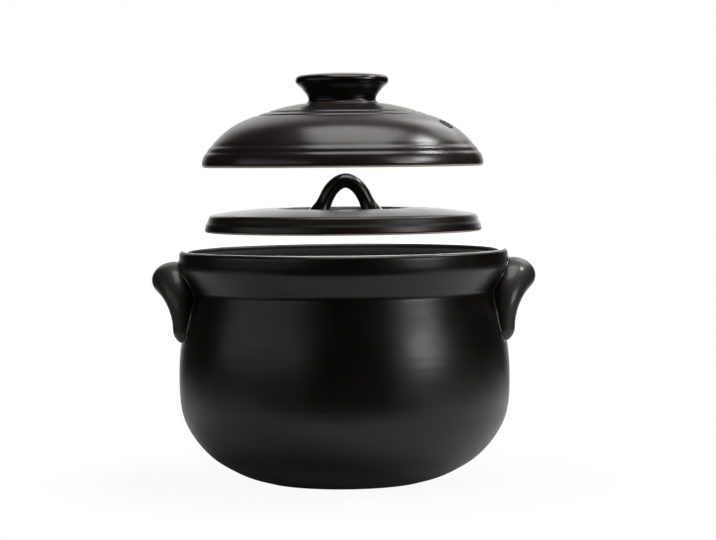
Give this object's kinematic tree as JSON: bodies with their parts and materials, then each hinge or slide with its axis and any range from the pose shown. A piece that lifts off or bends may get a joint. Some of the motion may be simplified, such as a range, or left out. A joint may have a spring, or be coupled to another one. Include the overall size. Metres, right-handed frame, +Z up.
{
  "type": "clay cooking pot",
  "caption": "Round dark-glazed clay cooking pot with ear handles, a flat inner lid with a finger loop and a domed outer lid with a knob, both lifting straight off.",
  "frame": {"origin": "centre of the foot's underside, on the surface that the pot stands on", "axes": "+Z up along the axis of the pot and the lids, +X towards the right handle, +Y away from the picture's camera"},
  "size_m": [0.2778, 0.2392, 0.2945],
  "materials": {
    "dark_glaze": "satin black-brown glaze",
    "lid_glaze": "satin black-brown glaze, unglazed buff clay on the standing edge"
  },
  "bodies": {
    "pot": {"pot_body": "dark_glaze", "handle_left": "dark_glaze", "handle_right": "dark_glaze"},
    "inner_lid": {"inner_lid_plate": "lid_glaze", "inner_lid_loop": "lid_glaze"},
    "outer_lid": {"outer_lid_dome": "lid_glaze", "outer_lid_knob": "lid_glaze"}
  },
  "joints": [
    {"name": "inner_lid_lift", "type": "slide", "parent": "pot", "child": "inner_lid", "axis": [0, 0, 1], "range_m": [-0.041, 0]},
    {"name": "outer_lid_lift", "type": "slide", "parent": "inner_lid", "child": "outer_lid", "axis": [0, 0, 1], "range_m": [-0.0321, 0]}
  ]
}
